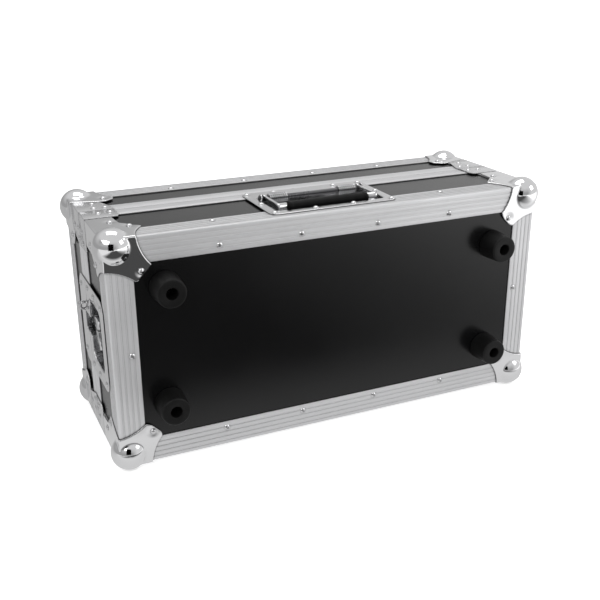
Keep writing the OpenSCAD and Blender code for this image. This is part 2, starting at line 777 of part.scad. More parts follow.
module latch_key(right) {
    inner = head_w / 2 + head_gap;
    color("#cfd0d2") latch(right) translate([0, key_y, pin_z]) {
        rotate([0, 90, 0]) cylinder(r = pin_r, h = 2 * key_half, center = true, $fn = fine);
        for (s = [-1, 1]) translate([s * (key_half + inner) / 2, 0, 0]) rotate([0, 90, 0])
            cylinder(r = barrel_r, h = key_half - inner, center = true, $fn = fine);
        translate([0, 0, -key_t / 2]) linear_extrude(key_t) difference() {
            polygon(rounded(box_points(-key_half, 0, key_half, key_reach), [0, 0, 7, 7]));
            translate([-inner, -1]) square([2 * inner, head_half + 3]);
        }
    }
}
module latch_claw(right) {
    yoke_y = cam_r + cam_gap;
    yoke_x = cam_r + cam_throw + cam_gap;
    color("#b7b8bb") latch(right) translate([0, cam_y, claw_top - claw_t]) linear_extrude(claw_t)
        difference() {
            union() {
                polygon(rounded(box_points(-yoke_x - claw_rim, -yoke_y - claw_rim,
                                           yoke_x + claw_rim, yoke_y + claw_rim), [4, 4, 4, 4]));
                polygon(rounded(box_points(-claw_w / 2, 0, claw_w / 2, claw_tip - cam_y),
                                [0, 0, 3, 3]));
            }
            polygon(box_points(-yoke_x, -yoke_y, yoke_x, yoke_y));
        }
}
module latch_rivets() {
    x = latch_w / 2;
    base_spots = [[x - 8, base_d - 9], [x - 10, base_d - latch_base + 12], [x - 8, key_y]];
    color("#dcdcde") for (right = [false, true]) latch(right)
        for (s = [-1, 1], p = base_spots) translate([s * p[0], p[1], 0]) rivet(sheet_t);
}
module strike_rivets() {
    color("#dcdcde") for (right = [false, true], s = [-1, 1])
        latch(right) translate([s * (latch_w / 2 - strike_rivet_in), lid_y + strike_rivet_y, 0]) rivet(sheet_t);
}

end_panel(angle_t);  // bottom_panel
base_panel(FRONT);  // base_front_panel
base_panel(BACK);  // base_back_panel
base_panel(LEFT);  // base_left_panel
base_panel(RIGHT);  // base_right_panel
base_angle(FRONT);  // base_front_angle
base_angle(BACK);  // base_back_angle
base_angle(LEFT);  // base_left_angle
base_angle(RIGHT);  // base_right_angle
base_closure(FRONT);  // base_front_closure
base_closure(BACK);  // base_back_closure
base_closure(LEFT);  // base_left_closure
base_closure(RIGHT);  // base_right_closure
base_corner_angles();
base_ball_corners();
base_braces();
base_edge_rivets();
base_corner_rivets();
rubber_feet();
foot_washers();
foot_screws();
base_foam();
handle_dish();
handle_rivets();
handle_axle();
handle_springs();
handle_bail();
handle_grip();
latch_dish(false);  // left_latch_dish
latch_hub(false);  // left_latch_hub
latch_key(false);  // left_latch_key
latch_claw(false);  // left_latch_claw
latch_dish(true);  // right_latch_dish
latch_hub(true);  // right_latch_hub
latch_key(true);  // right_latch_key
latch_claw(true);  // right_latch_claw
latch_rivets();
end_panel(case_d - panel_in);  // lid_panel
lid_side_panel(FRONT);  // lid_front_panel
lid_side_panel(BACK);  // lid_back_panel
lid_side_panel(LEFT);  // lid_left_panel
lid_side_panel(RIGHT);  // lid_right_panel
lid_angle(FRONT);  // lid_front_angle
lid_angle(BACK);  // lid_back_angle
lid_angle(LEFT);  // lid_left_angle
lid_angle(RIGHT);  // lid_right_angle
lid_closure(FRONT);  // lid_front_closure
lid_closure(BACK);  // lid_back_closure
lid_closure(LEFT);  // lid_left_closure
lid_closure(RIGHT);  // lid_right_closure
lid_corner_angles();
lid_ball_corners();
lid_braces();
lid_edge_rivets();
lid_corner_rivets();
strike_dish(false);  // left_strike_dish
strike_dish(true);  // right_strike_dish
strike_rivets();
lid_foam();
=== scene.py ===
"""Looks of a hard equipment case: pressed corners, riveted profiles, glossy panels, rubber and foam,
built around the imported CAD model. Every place and size comes from the CAD nodes unless it is named here."""

import json
import math

import bmesh
import bpy
import numpy as np
from mathutils import Matrix, Vector


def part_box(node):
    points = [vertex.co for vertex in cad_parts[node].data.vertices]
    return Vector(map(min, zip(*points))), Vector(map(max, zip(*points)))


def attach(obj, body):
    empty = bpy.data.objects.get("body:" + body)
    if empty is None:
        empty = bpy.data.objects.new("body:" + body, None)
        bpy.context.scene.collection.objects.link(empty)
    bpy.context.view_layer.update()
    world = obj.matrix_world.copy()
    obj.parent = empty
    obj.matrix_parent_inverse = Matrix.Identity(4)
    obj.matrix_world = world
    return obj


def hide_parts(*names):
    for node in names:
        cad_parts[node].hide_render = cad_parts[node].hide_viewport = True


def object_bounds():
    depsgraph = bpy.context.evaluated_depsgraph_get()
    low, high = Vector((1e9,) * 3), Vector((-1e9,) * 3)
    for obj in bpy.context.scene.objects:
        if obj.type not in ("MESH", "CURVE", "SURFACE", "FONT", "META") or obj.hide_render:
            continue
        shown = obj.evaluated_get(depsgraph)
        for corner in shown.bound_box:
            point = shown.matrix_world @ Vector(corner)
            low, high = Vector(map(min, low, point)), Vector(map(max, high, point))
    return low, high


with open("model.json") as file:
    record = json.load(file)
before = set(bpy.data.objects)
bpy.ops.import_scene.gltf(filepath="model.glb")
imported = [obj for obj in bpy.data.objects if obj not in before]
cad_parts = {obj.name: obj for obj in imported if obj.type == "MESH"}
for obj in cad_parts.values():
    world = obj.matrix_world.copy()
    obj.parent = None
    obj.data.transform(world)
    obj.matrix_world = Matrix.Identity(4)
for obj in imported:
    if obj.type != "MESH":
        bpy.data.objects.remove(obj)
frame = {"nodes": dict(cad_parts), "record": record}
cad_low, cad_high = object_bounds()
NODES = frame["nodes"]
BODY_OF = {n: body for body, members in frame["record"]["behaviour"]["bodies"].items() for n in members}
MM = 0.001

# ---- sizes that no CAD box gives, in metres, and other settings ----
BALL_R = 21 * MM
FILLET_REACH = 3 * MM
FILLET_PASSES = 9
DIMPLE_R = 9.5 * MM
DIMPLE_DEPTH = 0.6 * MM
DIMPLE_BAND = (-0.8 * MM, 3 * MM)  # heights over a plate's face that a dimple moves
DIMPLE_FLAT = 1.6
SHEET_VOXEL = 0.75 * MM
FOAM_VOXEL = 2.5 * MM
# Width of the painted shadow lines along the closing profiles.
SHADOW_LINE_W = 2.2 * MM
WELD = 0.01 * MM
SEGMENTS = 32
# Colour of the painted shade in seams and corners.
SEAM_SHADE_COLOUR = (0.06, 0.06, 0.06)


# ---- mesh helpers ----
def welded(node):
    """A bmesh copy of a CAD node with the vertices that the export had split joined again."""
    bm = bmesh.new()
    source = NODES[node].data
    for v in source.vertices:
        bm.verts.new(v.co)
    bm.verts.ensure_lookup_table()
    for p in source.polygons:
        try:
            bm.faces.new([bm.verts[i] for i in p.vertices])
        except ValueError:
            pass
    bmesh.ops.remove_doubles(bm, verts=bm.verts, dist=WELD)
    return bm


def add_piece(name, mesh, body, material, nodes):
    """Links a mesh as a piece that rides on a body and stands for CAD nodes."""
    piece = bpy.data.objects.new(name, mesh)
    bpy.context.scene.collection.objects.link(piece)
    piece.data.materials.clear()
    piece.data.materials.append(material)
    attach(piece, body)
    if nodes:
        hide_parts(*nodes)
    return piece


def shade(mesh, degrees=35):
    mesh.shade_smooth()
    mesh.set_sharp_from_angle(angle=math.radians(degrees))


def softened(node, width, material, segments=2, least=28):
    """A copy of a CAD node whose edges that turn by more than least degrees are rounded by width."""
    bm = welded(node)
    bmesh.ops.dissolve_limit(bm, angle_limit=math.radians(0.4), verts=bm.verts, edges=bm.edges)
    sharp = [e for e in bm.edges if len(e.link_faces) == 2 and e.calc_face_angle(0) > math.radians(least)]
    bmesh.ops.bevel(bm, geom=sharp, offset=width, segments=segments, profile=0.5, affect="EDGES",
                    clamp_overlap=True, loop_slide=True)
    bmesh.ops.triangulate(bm, faces=[f for f in bm.faces if len(f.verts) > 4])
    mesh = bpy.data.meshes.new(node + "_soft")
    bm.to_mesh(mesh)
    bm.free()
    shade(mesh, 40)
    add_piece(node + "_finished", mesh, BODY_OF[node], material, [node])


def relax(points, edges, passes, share):
    """Moves points towards the middle of their neighbours. share is one number or one per point."""
    n = len(points)
    a, b = edges[:, 0], edges[:, 1]
    count = np.bincount(edges.ravel(), minlength=n)[:, None].clip(1)
    for _ in range(passes):
        total = np.stack([np.bincount(a, points[b, k], n) + np.bincount(b, points[a, k], n)
                          for k in range(3)], axis=1)
        points = points + share * (total / count - points)
    return points


def mesh_arrays(mesh):
    points = np.zeros(len(mesh.vertices) * 3)
    mesh.vertices.foreach_get("co", points)
    edges = np.zeros(len(mesh.edges) * 2, int)
    mesh.edges.foreach_get("vertices", edges)
    return points.reshape(-1, 3), edges.reshape(-1, 2)


def applied(mesh, name, **modifiers):
    """The mesh with modifiers applied, given as TYPE={setting: value}."""
    holder = bpy.data.objects.new(name, mesh)
    bpy.context.scene.collection.objects.link(holder)
    for kind, settings in modifiers.items():
        m = holder.modifiers.new(kind, kind)
        for key, value in settings.items():
            setattr(m, key, value)
    bpy.context.view_layer.update()
    made = bpy.data.meshes.new_from_object(holder.evaluated_get(bpy.context.evaluated_depsgraph_get()))
    bpy.data.objects.remove(holder)
    return made


def pressed(node, material, voxel=SHEET_VOXEL, passes=3, shape=None, keep=0.35):
    """A CAD node as pressed sheet: remeshed, with every edge and bend relaxed. shape may move the points."""
    bm = welded(node)
    rough = bpy.data.meshes.new(node + "_rough")
    bm.to_mesh(rough)
    bm.free()
    mesh = applied(rough, node + "_sheet", REMESH={"mode": "VOXEL", "voxel_size": voxel})
    points, edges = mesh_arrays(mesh)
    points = relax(points, edges, passes, 0.5)
    if shape:
        points = shape(points, edges)
    mesh.vertices.foreach_set("co", points.ravel())
    mesh = applied(mesh, node + "_thin", DECIMATE={"ratio": keep})
    mesh.shade_smooth()
    return add_piece(node + "_pressed", mesh, BODY_OF[node], material, [node])


def solids(node):
    """The vertices of each separate solid of a node, as arrays."""
    bm = welded(node)
    bm.verts.ensure_lookup_table()
    seen, found = set(), []
    for start in bm.verts:
        if start in seen:
            continue
        seen.add(start)
        queue, members = [start], []
        while queue:
            v = queue.pop()
            members.append(tuple(v.co))
            for e in v.link_edges:
                other = e.other_vert(v)
                if other not in seen:
                    seen.add(other)
                    queue.append(other)
        found.append(np.array(members))
    bm.free()
    return found


def lathe(profile, segments=SEGMENTS):
    """Points and faces of a closed solid turned about Z. Its profile of (radius, height) starts and ends on
    the axis."""
    points, faces, rings = [], [], []
    for r, z in profile:
        if r == 0:
            rings.append([len(points)])
            points.append((0.0, 0.0, z))
        else:
            rings.append(list(range(len(points), len(points) + segments)))
            points += [(r * math.cos(t), r * math.sin(t), z)
                       for t in (2 * math.pi * i / segments for i in range(segments))]
    for low, high in zip(rings, rings[1:]):
        for i in range(segments):
            j = (i + 1) % segments
            if len(low) == 1 and len(high) > 1:
                faces.append((low[0], high[j], high[i]))
            elif len(high) == 1 and len(low) > 1:
                faces.append((low[i], low[j], high[0]))
            elif len(low) > 1:
                faces.append((low[i], low[j], high[j], high[i]))
    return np.array(points), faces


def arc(centre, radius, first, last, steps=6):
    """Profile points along an arc, with angles in degrees."""
    return [(centre[0] + radius * math.cos(math.radians(first + (last - first) * i / steps)),
             centre[1] + radius * math.sin(math.radians(first + (last - first) * i / steps)))
            for i in range(steps + 1)]


def block(low, high):
    """Points and faces of a box between two corners."""
    points = [(x, y, z) for x in (low[0], high[0]) for y in (low[1], high[1]) for z in (low[2], high[2])]
    return points, [(0, 1, 3, 2), (4, 6, 7, 5), (0, 4, 5, 1), (2, 3, 7, 6), (0, 2, 6, 4), (1, 5, 7, 3)]


def turn_to(axis):
    """Rotation that takes +Z to axis."""
    return np.array(Vector((0, 0, 1)).rotation_difference(Vector(axis)).to_matrix())


def joined(name, parts):
    """One mesh from (points, faces) pairs."""
    mesh = bpy.data.meshes.new(name)
    points, faces = [], []
    for p, f in parts:
        faces += [tuple(i + len(points) for i in face) for face in f]
        points += [tuple(x) for x in p]
    mesh.from_pydata(points, [], faces)
    mesh.validate()
    return mesh


# ---- node-tree helpers ----
class Nodes:
    """A small wrapper that adds nodes to a material or world and links them."""

    def __init__(self, tree):
        self.tree = tree

    def add(self, kind, **settings):
        node = self.tree.nodes.new(kind)
        for key, value in settings.items():
            setattr(node, key, value)
        return node

    def link(self, a, b):
        self.tree.links.new(a, b)


def new_material(name, colour, roughness, metallic=0.0, **sockets):
    material = bpy.data.materials.new(name)
    material.use_nodes = True
    shader = material.node_tree.nodes["Principled BSDF"]
    shader.inputs["Base Color"].default_value = (*colour, 1)
    shader.inputs["Roughness"].default_value = roughness
    shader.inputs["Metallic"].default_value = metallic
    for key, value in sockets.items():
        shader.inputs[key.replace("_", " ")].default_value = value
    return material, Nodes(material.node_tree), shader


def stretched_noise(nodes, scale, detail=3.0, roughness=0.5, stretch=(1, 1, 1)):
    """Noise in object space, drawn out along an axis by a small factor there. Returns its factor socket."""
    where = nodes.add("ShaderNodeTexCoord")
    mapping = nodes.add("ShaderNodeMapping")
    mapping.inputs["Scale"].default_value = stretch
    noise = nodes.add("ShaderNodeTexNoise")
    noise.inputs["Scale"].default_value = scale
    noise.inputs["Detail"].default_value = detail
    noise.inputs["Roughness"].default_value = roughness
    nodes.link(where.outputs["Object"], mapping.inputs["Vector"])
    nodes.link(mapping.outputs["Vector"], noise.inputs["Vector"])
    return noise.outputs["Fac"]


def ranged(nodes, value, low, high, out_low, out_high):
    m = nodes.add("ShaderNodeMapRange")
    m.inputs["From Min"].default_value = low
    m.inputs["From Max"].default_value = high
    m.inputs["To Min"].default_value = out_low
    m.inputs["To Max"].default_value = out_high
    nodes.link(value, m.inputs["Value"])
    return m.outputs["Result"]


def tinted(nodes, value, dark, light):
    """A colour between dark and light by a factor socket. light is a colour or a socket."""
    mix = nodes.add("ShaderNodeMix", data_type="RGBA")
    mix.inputs[6].default_value = (*dark, 1)
    if isinstance(light, tuple):
        mix.inputs[7].default_value = (*light, 1)
    else:
        nodes.link(light, mix.inputs[7])
    nodes.link(value, mix.inputs[0])
    return mix.outputs[2]


def bump(nodes, height, distance, strength=1.0):
    b = nodes.add("ShaderNodeBump")
    b.inputs["Distance"].default_value = distance
    b.inputs["Strength"].default_value = strength
    nodes.link(height, b.inputs["Height"])
    return b.outputs["Normal"]


def seam_shaded(nodes, colour, shader, reach):
    """Darkens a colour or colour socket near seams and in corners by ambient occlusion: painted shade."""
    seam = nodes.add("ShaderNodeAmbientOcclusion", samples=6)
    seam.inputs["Distance"].default_value = reach
    openness = ranged(nodes, seam.outputs["AO"], 0.42, 0.9, 0, 1)
    nodes.link(tinted(nodes, openness, SEAM_SHADE_COLOUR, colour), shader.inputs["Base Color"])


# ---- materials ----
def aluminium(axis):
    """Satin extruded aluminium with faint lines along one axis, 0 to 2, and painted shade in its seams."""
    material, nodes, shader = new_material("aluminium_" + "xyz"[axis], (0.66, 0.66, 0.67), 0.45, 0.55)
    along = [1.0, 1.0, 1.0]
    along[axis] = 0.02
    lines = stretched_noise(nodes, 900, 2.0, 0.6, along)
    bands = stretched_noise(nodes, 90, 2.0, 0.5, along)
    cloud = stretched_noise(nodes, 14, 4.0, 0.6)
    banded = tinted(nodes, ranged(nodes, bands, 0.3, 0.7, 0, 1), (0.61, 0.61, 0.62), (0.68, 0.68, 0.69))
    # Painted shade: the colour darkens near seams and corners by ambient occlusion.
    seam_shaded(nodes, banded, shader, 2.6 * MM)
    nodes.link(ranged(nodes, cloud, 0.3, 0.7, 0.4, 0.5), shader.inputs["Roughness"])
    nodes.link(bump(nodes, lines, 0.02 * MM, 0.5), shader.inputs["Normal"])
    return material


def chrome(name, colour, roughness, ripple=0.03, shade_reach=2.6 * MM):
    """Plated pressed steel: bright, with the soft ripple that pressing leaves. Seams and corners get painted
    shade within shade_reach."""
    material, nodes, shader = new_material(name, colour, roughness, 1.0)
    ripples = stretched_noise(nodes, 120, 2.0, 0.4)
    haze = stretched_noise(nodes, 45, 5.0, 0.6)
    # Painted shade: the colour darkens near seams and corners by ambient occlusion.
    seam_shaded(nodes, colour, shader, shade_reach)
    nodes.link(ranged(nodes, haze, 0.35, 0.7, roughness * 0.8, roughness * 1.5), shader.inputs["Roughness"])
    nodes.link(bump(nodes, ripples, ripple * MM, 1.0), shader.inputs["Normal"])
    return material


def laminate():
    """Black glossy laminate with a faint orange peel."""
    material, nodes, shader = new_material("laminate", (0.003, 0.003, 0.0032), 0.2, Specular_IOR_Level=0.4)
    peel = stretched_noise(nodes, 700, 2.0, 0.5)
    smears = stretched_noise(nodes, 9, 5.0, 0.6)
    nodes.link(ranged(nodes, smears, 0.3, 0.75, 0.16, 0.26), shader.inputs["Roughness"])
    nodes.link(bump(nodes, peel, 0.012 * MM, 1.0), shader.inputs["Normal"])
    return material


def rubber(name, colour, roughness, grain, gloss):
    """Moulded rubber with a grain height in millimetres and a little dust."""
    material, nodes, shader = new_material(name, colour, roughness, 0.0, Specular_IOR_Level=gloss)
    fine = stretched_noise(nodes, 1600, 4.0, 0.6)
    dust = stretched_noise(nodes, 60, 6.0, 0.65)
    light = tuple(c * 1.7 + 0.002 for c in colour)
    patches = ranged(nodes, dust, 0.45, 0.8, 0, 1)
    nodes.link(tinted(nodes, patches, colour, light), shader.inputs["Base Color"])
    nodes.link(ranged(nodes, dust, 0.3, 0.7, roughness - 0.06, roughness + 0.08), shader.inputs["Roughness"])
    nodes.link(bump(nodes, fine, grain * MM, 1.0), shader.inputs["Normal"])
    return material


def foam():
    """Black open-cell foam."""
    material, nodes, shader = new_material("foam", (0.035, 0.035, 0.038), 0.95)
    cells = nodes.add("ShaderNodeTexVoronoi")
    where = nodes.add("ShaderNodeTexCoord")
    nodes.link(where.outputs["Object"], cells.inputs["Vector"])
    cells.inputs["Scale"].default_value = 900
    # Painted shade: the colour is darker in the cells' hollows, where the bump is low, and lighter on their
    # walls.
    walls = ranged(nodes, cells.outputs["Distance"], 0.0, 0.6, 0, 1)
    nodes.link(tinted(nodes, walls, (0.012, 0.012, 0.013), (0.05, 0.05, 0.054)), shader.inputs["Base Color"])
    nodes.link(bump(nodes, cells.outputs["Distance"], 0.4 * MM, 1.0), shader.inputs["Normal"])
    shader.inputs["Sheen Weight"].default_value = 0.25
    return material


ALUMINIUM = [aluminium(axis) for axis in range(3)]
# Each chrome gets painted shade in its seams and corners; a last number, where given, is how far that shade
# reaches.
BALL_CHROME = chrome("ball_chrome", (0.80, 0.80, 0.81), 0.07)
PLATE_CHROME = chrome("plate_chrome", (0.76, 0.76, 0.77), 0.2, 0.02)
DISH_CHROME = chrome("dish_chrome", (0.74, 0.74, 0.75), 0.16, 0.03, 9 * MM)
ZINC = chrome("zinc_steel", (0.62, 0.62, 0.63), 0.24, 0.02, 6 * MM)
DARK_STEEL = chrome("dark_steel", (0.14, 0.14, 0.145), 0.28, 0.02)
RIVET = chrome("rivet_steel", (0.72, 0.72, 0.73), 0.12, 0.01, 3 * MM)
LAMINATE = laminate()
FOOT_RUBBER = rubber("foot_rubber", (0.003, 0.003, 0.003), 0.5, 0.03, 0.25)
GRIP_RUBBER = rubber("grip_rubber", (0.002, 0.002, 0.002), 0.5, 0.02, 0.12)
FOAM = foam()


# ---- panels and profiles ----
def long_axis(node):
    low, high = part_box(node)
    return max(range(3), key=lambda k: high[k] - low[k])


def panels_and_profiles():
    for node in NODES:
        if node.endswith("_panel"):
            softened(node, 0.25 * MM, LAMINATE, segments=1)
        elif node.endswith(("_angle", "_closure")):
            softened(node, 0.3 * MM, ALUMINIUM[long_axis(node)], least=50)
        elif node.endswith("_corner_angles"):
            softened(node, 0.3 * MM, ALUMINIUM[1], least=50)


def closing_shadow_lines():
    """Black strips along the base side of the closing profiles, a painted shadow where their lips stand off
    the panels.
    They stop at the plates of the handle and the latches, whose recesses they would cross."""
    crossed = {"front": "handle_dish", "left": "left_latch_dish", "right": "right_latch_dish"}
    tuck, proud = 0.2 * MM, 0.12 * MM
    parts = []
    for side, k, sign in (("front", 2, 1), ("back", 2, -1), ("left", 0, -1), ("right", 0, 1)):
        low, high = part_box(f"base_{side}_panel")
        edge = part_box(f"base_{side}_closure")[0].y
        face, along = high[k] if sign > 0 else low[k], 2 - k
        spans = [(low[along], high[along])]
        if side in crossed:
            plate_low, plate_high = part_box(crossed[side])
            spans = [(low[along], plate_low[along]), (plate_high[along], high[along])]
        for first, last in spans:
            a, b = Vector((0, edge - SHADOW_LINE_W, 0)), Vector((0, edge + tuck, 0))
            a[along], b[along] = first, last
            a[k], b[k] = sorted((face - tuck * sign, face + proud * sign))
            parts.append(block(a, b))
    # The strips use the grip's black rubber material as painted shadow; the case has no such part.
    add_piece("closing_shadow_lines", joined("closing_shadow_lines", parts), "base", GRIP_RUBBER, [])


# ---- pressed corners ----
def head_places(node):
    """(place of the head's underside, outward axis, radius, height) of each rivet in a node."""
    found = []
    for points in solids(node):
        size = np.ptp(points, axis=0)
        k = int(np.argmax(size))
        others = [i for i in range(3) if i != k]
        middle = (points.max(0) + points.min(0)) / 2
        radius = np.linalg.norm(points[:, others] - middle[others], axis=1)
        widest = points[np.argmax(radius), k]
        sign = 1 if widest > middle[k] else -1
        tip = points[:, k].max() if sign > 0 else points[:, k].min()
        place = middle.copy()
        place[k] = widest
        axis = np.zeros(3)
        axis[k] = sign
        found.append((place, axis, radius.max(), abs(tip - widest)))
    return found


def ball_centres(node):
    """Centre of each ball, one radius in from the node's outer box on the three outer sides."""
    middle = (cad_low + cad_high) / 2
    centres = []
    for points in solids(node):
        low, high = points.min(0), points.max(0)
        outer = []
        for k in range(3):
            at_high = node.startswith("lid") if k == 1 else low[k] > middle[k]
            outer.append(high[k] - BALL_R if at_high else low[k] + BALL_R)
        centres.append(np.array(outer))
    return centres


def corner_shape(node, rivets):
    """Rounds a ball into its plates and presses a dimple round each rivet."""
    centres = ball_centres(node)
    heads = head_places(rivets)

    def shape(points, edges):
        away = np.min([np.abs(np.linalg.norm(points - c, axis=1) - BALL_R) for c in centres], axis=0)
        near = np.clip(1 - away / FILLET_REACH, 0, 1)
        points = relax(points, edges, FILLET_PASSES, (0.5 * near ** 0.5)[:, None])
        for place, axis, _, _ in heads:
            k = int(np.argmax(np.abs(axis)))
            flat = np.delete(points - place, k, axis=1)
            depth = (points[:, k] - place[k]) * axis[k]
            on_face = (depth > DIMPLE_BAND[0]) & (depth < DIMPLE_BAND[1])
            share = np.clip(1 - np.linalg.norm(flat, axis=1) / DIMPLE_R, 0, 1)
            share = share * share * (3 - 2 * share)
            points[:, k] -= axis[k] * np.clip(DIMPLE_FLAT * share, 0, 1) * DIMPLE_DEPTH * on_face
        return points

    return shape


def corners():
    for half in ("base", "lid"):
        node = half + "_ball_corners"
        pressed(node, BALL_CHROME, shape=corner_shape(node, half + "_corner_rivets"))
        softened(half + "_braces", 0.4 * MM, PLATE_CHROME)


# ---- rivets ----
def crown(r, h):
    """Radius of the sphere that a head of radius r and height h is cut from, and the angle at its rim."""
    ball = (r * r + h * h) / (2 * h)
    return ball, math.degrees(math.asin(min(1, (ball - h) / ball)))


def dome_profile(r, h):
    """A solid round head."""
    ball, first = crown(r, h)
    return [(0, 0), (r * 0.98, 0)] + arc((0, h - ball), ball, first, 88, 7) + [(0, h)]


def blind_profile(r, h):
    """A blind rivet's flange with the stub of its mandrel in the middle."""
    ball, first = crown(r, h)
    crater = 0.36 * r
    last = math.degrees(math.acos(crater / ball))
    return ([(0, 0), (r * 0.98, 0)] + arc((0, h - ball), ball, first, last, 6)
            + [(crater * 0.9, h * 0.62), (crater * 0.72, h * 0.5), (crater * 0.66, h * 0.72),
               (crater * 0.4, h * 0.8), (0, h * 0.8)])


def rivet_heads(node, profile, sink=0.0):
    """Turned heads in place of a node's rivets. sink lets them down into dimples."""
    parts = []
    for place, axis, radius, height in head_places(node):
        points, faces = lathe(profile(radius, height + sink))
        points = points @ turn_to(axis).T + (place - axis * sink)
        parts.append((points, faces))
    mesh = joined(node + "_heads", parts)
    shade(mesh, 50)
    add_piece(node + "_heads", mesh, BODY_OF[node], RIVET, [node])


def all_rivets():
    for node in ("base_edge_rivets", "lid_edge_rivets"):
        rivet_heads(node, blind_profile)
    for node in ("handle_rivets", "latch_rivets", "strike_rivets"):
        rivet_heads(node, dome_profile)
    for node in ("base_corner_rivets", "lid_corner_rivets"):
        rivet_heads(node, dome_profile, DIMPLE_DEPTH)


# ---- feet ----
def foot_profile(root_r, tip_r, height, hole_r, floor):
    """A foot from its seat to its rounded tip and down into its screw hole."""
    seat = 0.2 * MM
    edge = 2.2 * MM
    lip = 0.8 * MM
    return ([(0, seat), (root_r - 0.4 * MM, seat), (root_r, 0.8 * MM), (root_r - 0.1 * MM, 2.6 * MM)]
            + arc((tip_r - edge, height - edge), edge, 4, 90, 6)
            + arc((hole_r + lip, height - lip), lip, 90, 180, 4)
            + [(hole_r - 0.3 * MM, floor + 1.2 * MM), (hole_r - 1 * MM, floor), (0, floor)])


def feet():
    near, off_base = 0.1 * MM, 1 * MM
    chamfer = 1.5 * MM
    parts = []
    for points in solids("rubber_feet"):
        low, high = points.min(0), points.max(0)
        middle = (low + high) / 2
        radius = np.linalg.norm(points[:, [0, 2]] - middle[[0, 2]], axis=1)
        tip = points[:, 1] < low[1] + near
        tip_r = radius[tip].max() + chamfer
        hole_r = radius[tip].min()
        in_hole = (radius < hole_r + near) & (points[:, 1] < high[1] - off_base)
        floor = high[1] - points[in_hole, 1].max()
        height = high[1] - low[1]
        made, faces = lathe(foot_profile(radius.max(), tip_r, height, hole_r, floor), segments=64)
        parts.append((made @ turn_to((0, -1, 0)).T + np.array((middle[0], high[1], middle[2])), faces))
    mesh = joined("feet", parts)
    shade(mesh, 40)
    add_piece("rubber_feet_moulded", mesh, "base", FOOT_RUBBER, ["rubber_feet"])
    softened("foot_washers", 0.1 * MM, ZINC)
    softened("foot_screws", 0.1 * MM, ZINC, segments=1)


# ---- handle ----
def grip():
    """The moulded grip: squarish in section, swelling gently along it, with a collar and a rounded end at
    each side. Places along it run from -1 to 1, and radii are shares of the CAD grip's."""
    low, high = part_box("handle_grip")
    centre, half = (low + high) / 2, (high - low) / 2
    rings, around = 72, 40
    end_start, end_length, end_face = 0.955, 0.045, 0.78
    collar_start, waist, swell, waves = 0.9, 0.93, 0.02, 8
    squareness = 0.9
    points, faces = [], []
    for i in range(rings + 1):
        u = i / rings * 2 - 1
        end = max(0.0, (abs(u) - end_start) / end_length)
        close = end_face + (1 - end_face) * math.sqrt(max(0.0, 1 - end * end))
        collar = 1.0 if abs(u) > collar_start else waist + swell * math.cos(waves * math.pi * u)
        for j in range(around):
            t = 2 * math.pi * j / around
            c, s = math.cos(t), math.sin(t)
            y = half.y * math.copysign(abs(c) ** squareness, c) * collar * close
            z = half.z * math.copysign(abs(s) ** squareness, s) * collar * close
            points.append((centre.x + half.x * u, centre.y + y, centre.z + z))
    for i in range(rings):
        for j in range(around):
            k = (j + 1) % around
            faces.append((i * around + j, i * around + k, (i + 1) * around + k, (i + 1) * around + j))
    faces.append(tuple(range(around - 1, -1, -1)))
    faces.append(tuple(rings * around + j for j in range(around)))
    mesh = joined("grip", [(points, faces)])
    shade(mesh, 50)
    add_piece("handle_grip_moulded", mesh, "handle", GRIP_RUBBER, ["handle_grip"])


def springs():
    """The two torsion springs, wound as smooth wire."""
    turns, per_turn = 9, 20
    wire = 0.8 * MM
    curve = bpy.data.curves.new("springs", "CURVE")
    curve.dimensions = "3D"
    curve.bevel_depth = wire
    curve.bevel_resolution = 3
    curve.use_fill_caps = True
    for points in solids("handle_springs"):
        low, high = points.min(0), points.max(0)
        middle = (low + high) / 2
        r = (high[2] - low[2]) / 2 - wire
        steps = turns * per_turn
        path = []
        for i in range(steps + 1):
            a = 2 * math.pi * turns * i / steps - math.pi / 2
            x = low[0] + wire + (high[0] - low[0] - 2 * wire) * i / steps
            path.append((x, middle[1] + r * math.cos(a), middle[2] + r * math.sin(a)))
        spline = curve.splines.new("POLY")
        spline.points.add(len(path) - 1)
        for p, co in zip(spline.points, path):
            p.co = (*co, 1)
    holder = bpy.data.objects.new("springs_curve", curve)
    bpy.context.scene.collection.objects.link(holder)
    bpy.context.view_layer.update()
    mesh = bpy.data.meshes.new_from_object(holder.evaluated_get(bpy.context.evaluated_depsgraph_get()))
    bpy.data.objects.remove(holder)
    mesh.shade_smooth()
    add_piece("handle_springs_wound", mesh, "base", RIVET, ["handle_springs"])


def handle():
    pressed("handle_dish", DISH_CHROME, passes=4)
    softened("handle_axle", 0.3 * MM, DARK_STEEL)
    softened("handle_bail", 0.5 * MM, DISH_CHROME)
    grip()
    springs()


# ---- latches ----
def latches():
    for side in ("left_", "right_"):
        pressed(side + "latch_dish", DISH_CHROME, passes=4)
        pressed(side + "strike_dish", DISH_CHROME, passes=4)
        softened(side + "latch_hub", 0.3 * MM, ZINC)
        softened(side + "latch_key", 0.5 * MM, DISH_CHROME)
        softened(side + "latch_claw", 0.3 * MM, ZINC)


# ---- foam ----
def crumpled(points, _edges):
    """Points moved towards the middle of the case by a slow wave, so that the foam's faces are not flat."""
    wave = np.sin(points[:, 0] * 71) * np.sin(points[:, 1] * 83 + 1) * np.sin(points[:, 2] * 67 + 2)
    inward = np.array((0, (cad_low.y + cad_high.y) / 2, (cad_low.z + cad_high.z) / 2)) - points
    inward /= np.linalg.norm(inward, axis=1)[:, None]
    return points + inward * (0.5 * MM * (wave + 1))[:, None]


def linings():
    for node in ("base_foam", "lid_foam"):
        piece = pressed(node, FOAM, FOAM_VOXEL, shape=crumpled, keep=0.5)


# ---- studio ----
CAMERA_PLACE = Vector((-0.4419, -0.96435, 0.5469))
CAMERA_YAW = 24.115
CAMERA_DOWN = 21.225
CAMERA_ROLL = -0.377
LENS = 52.97


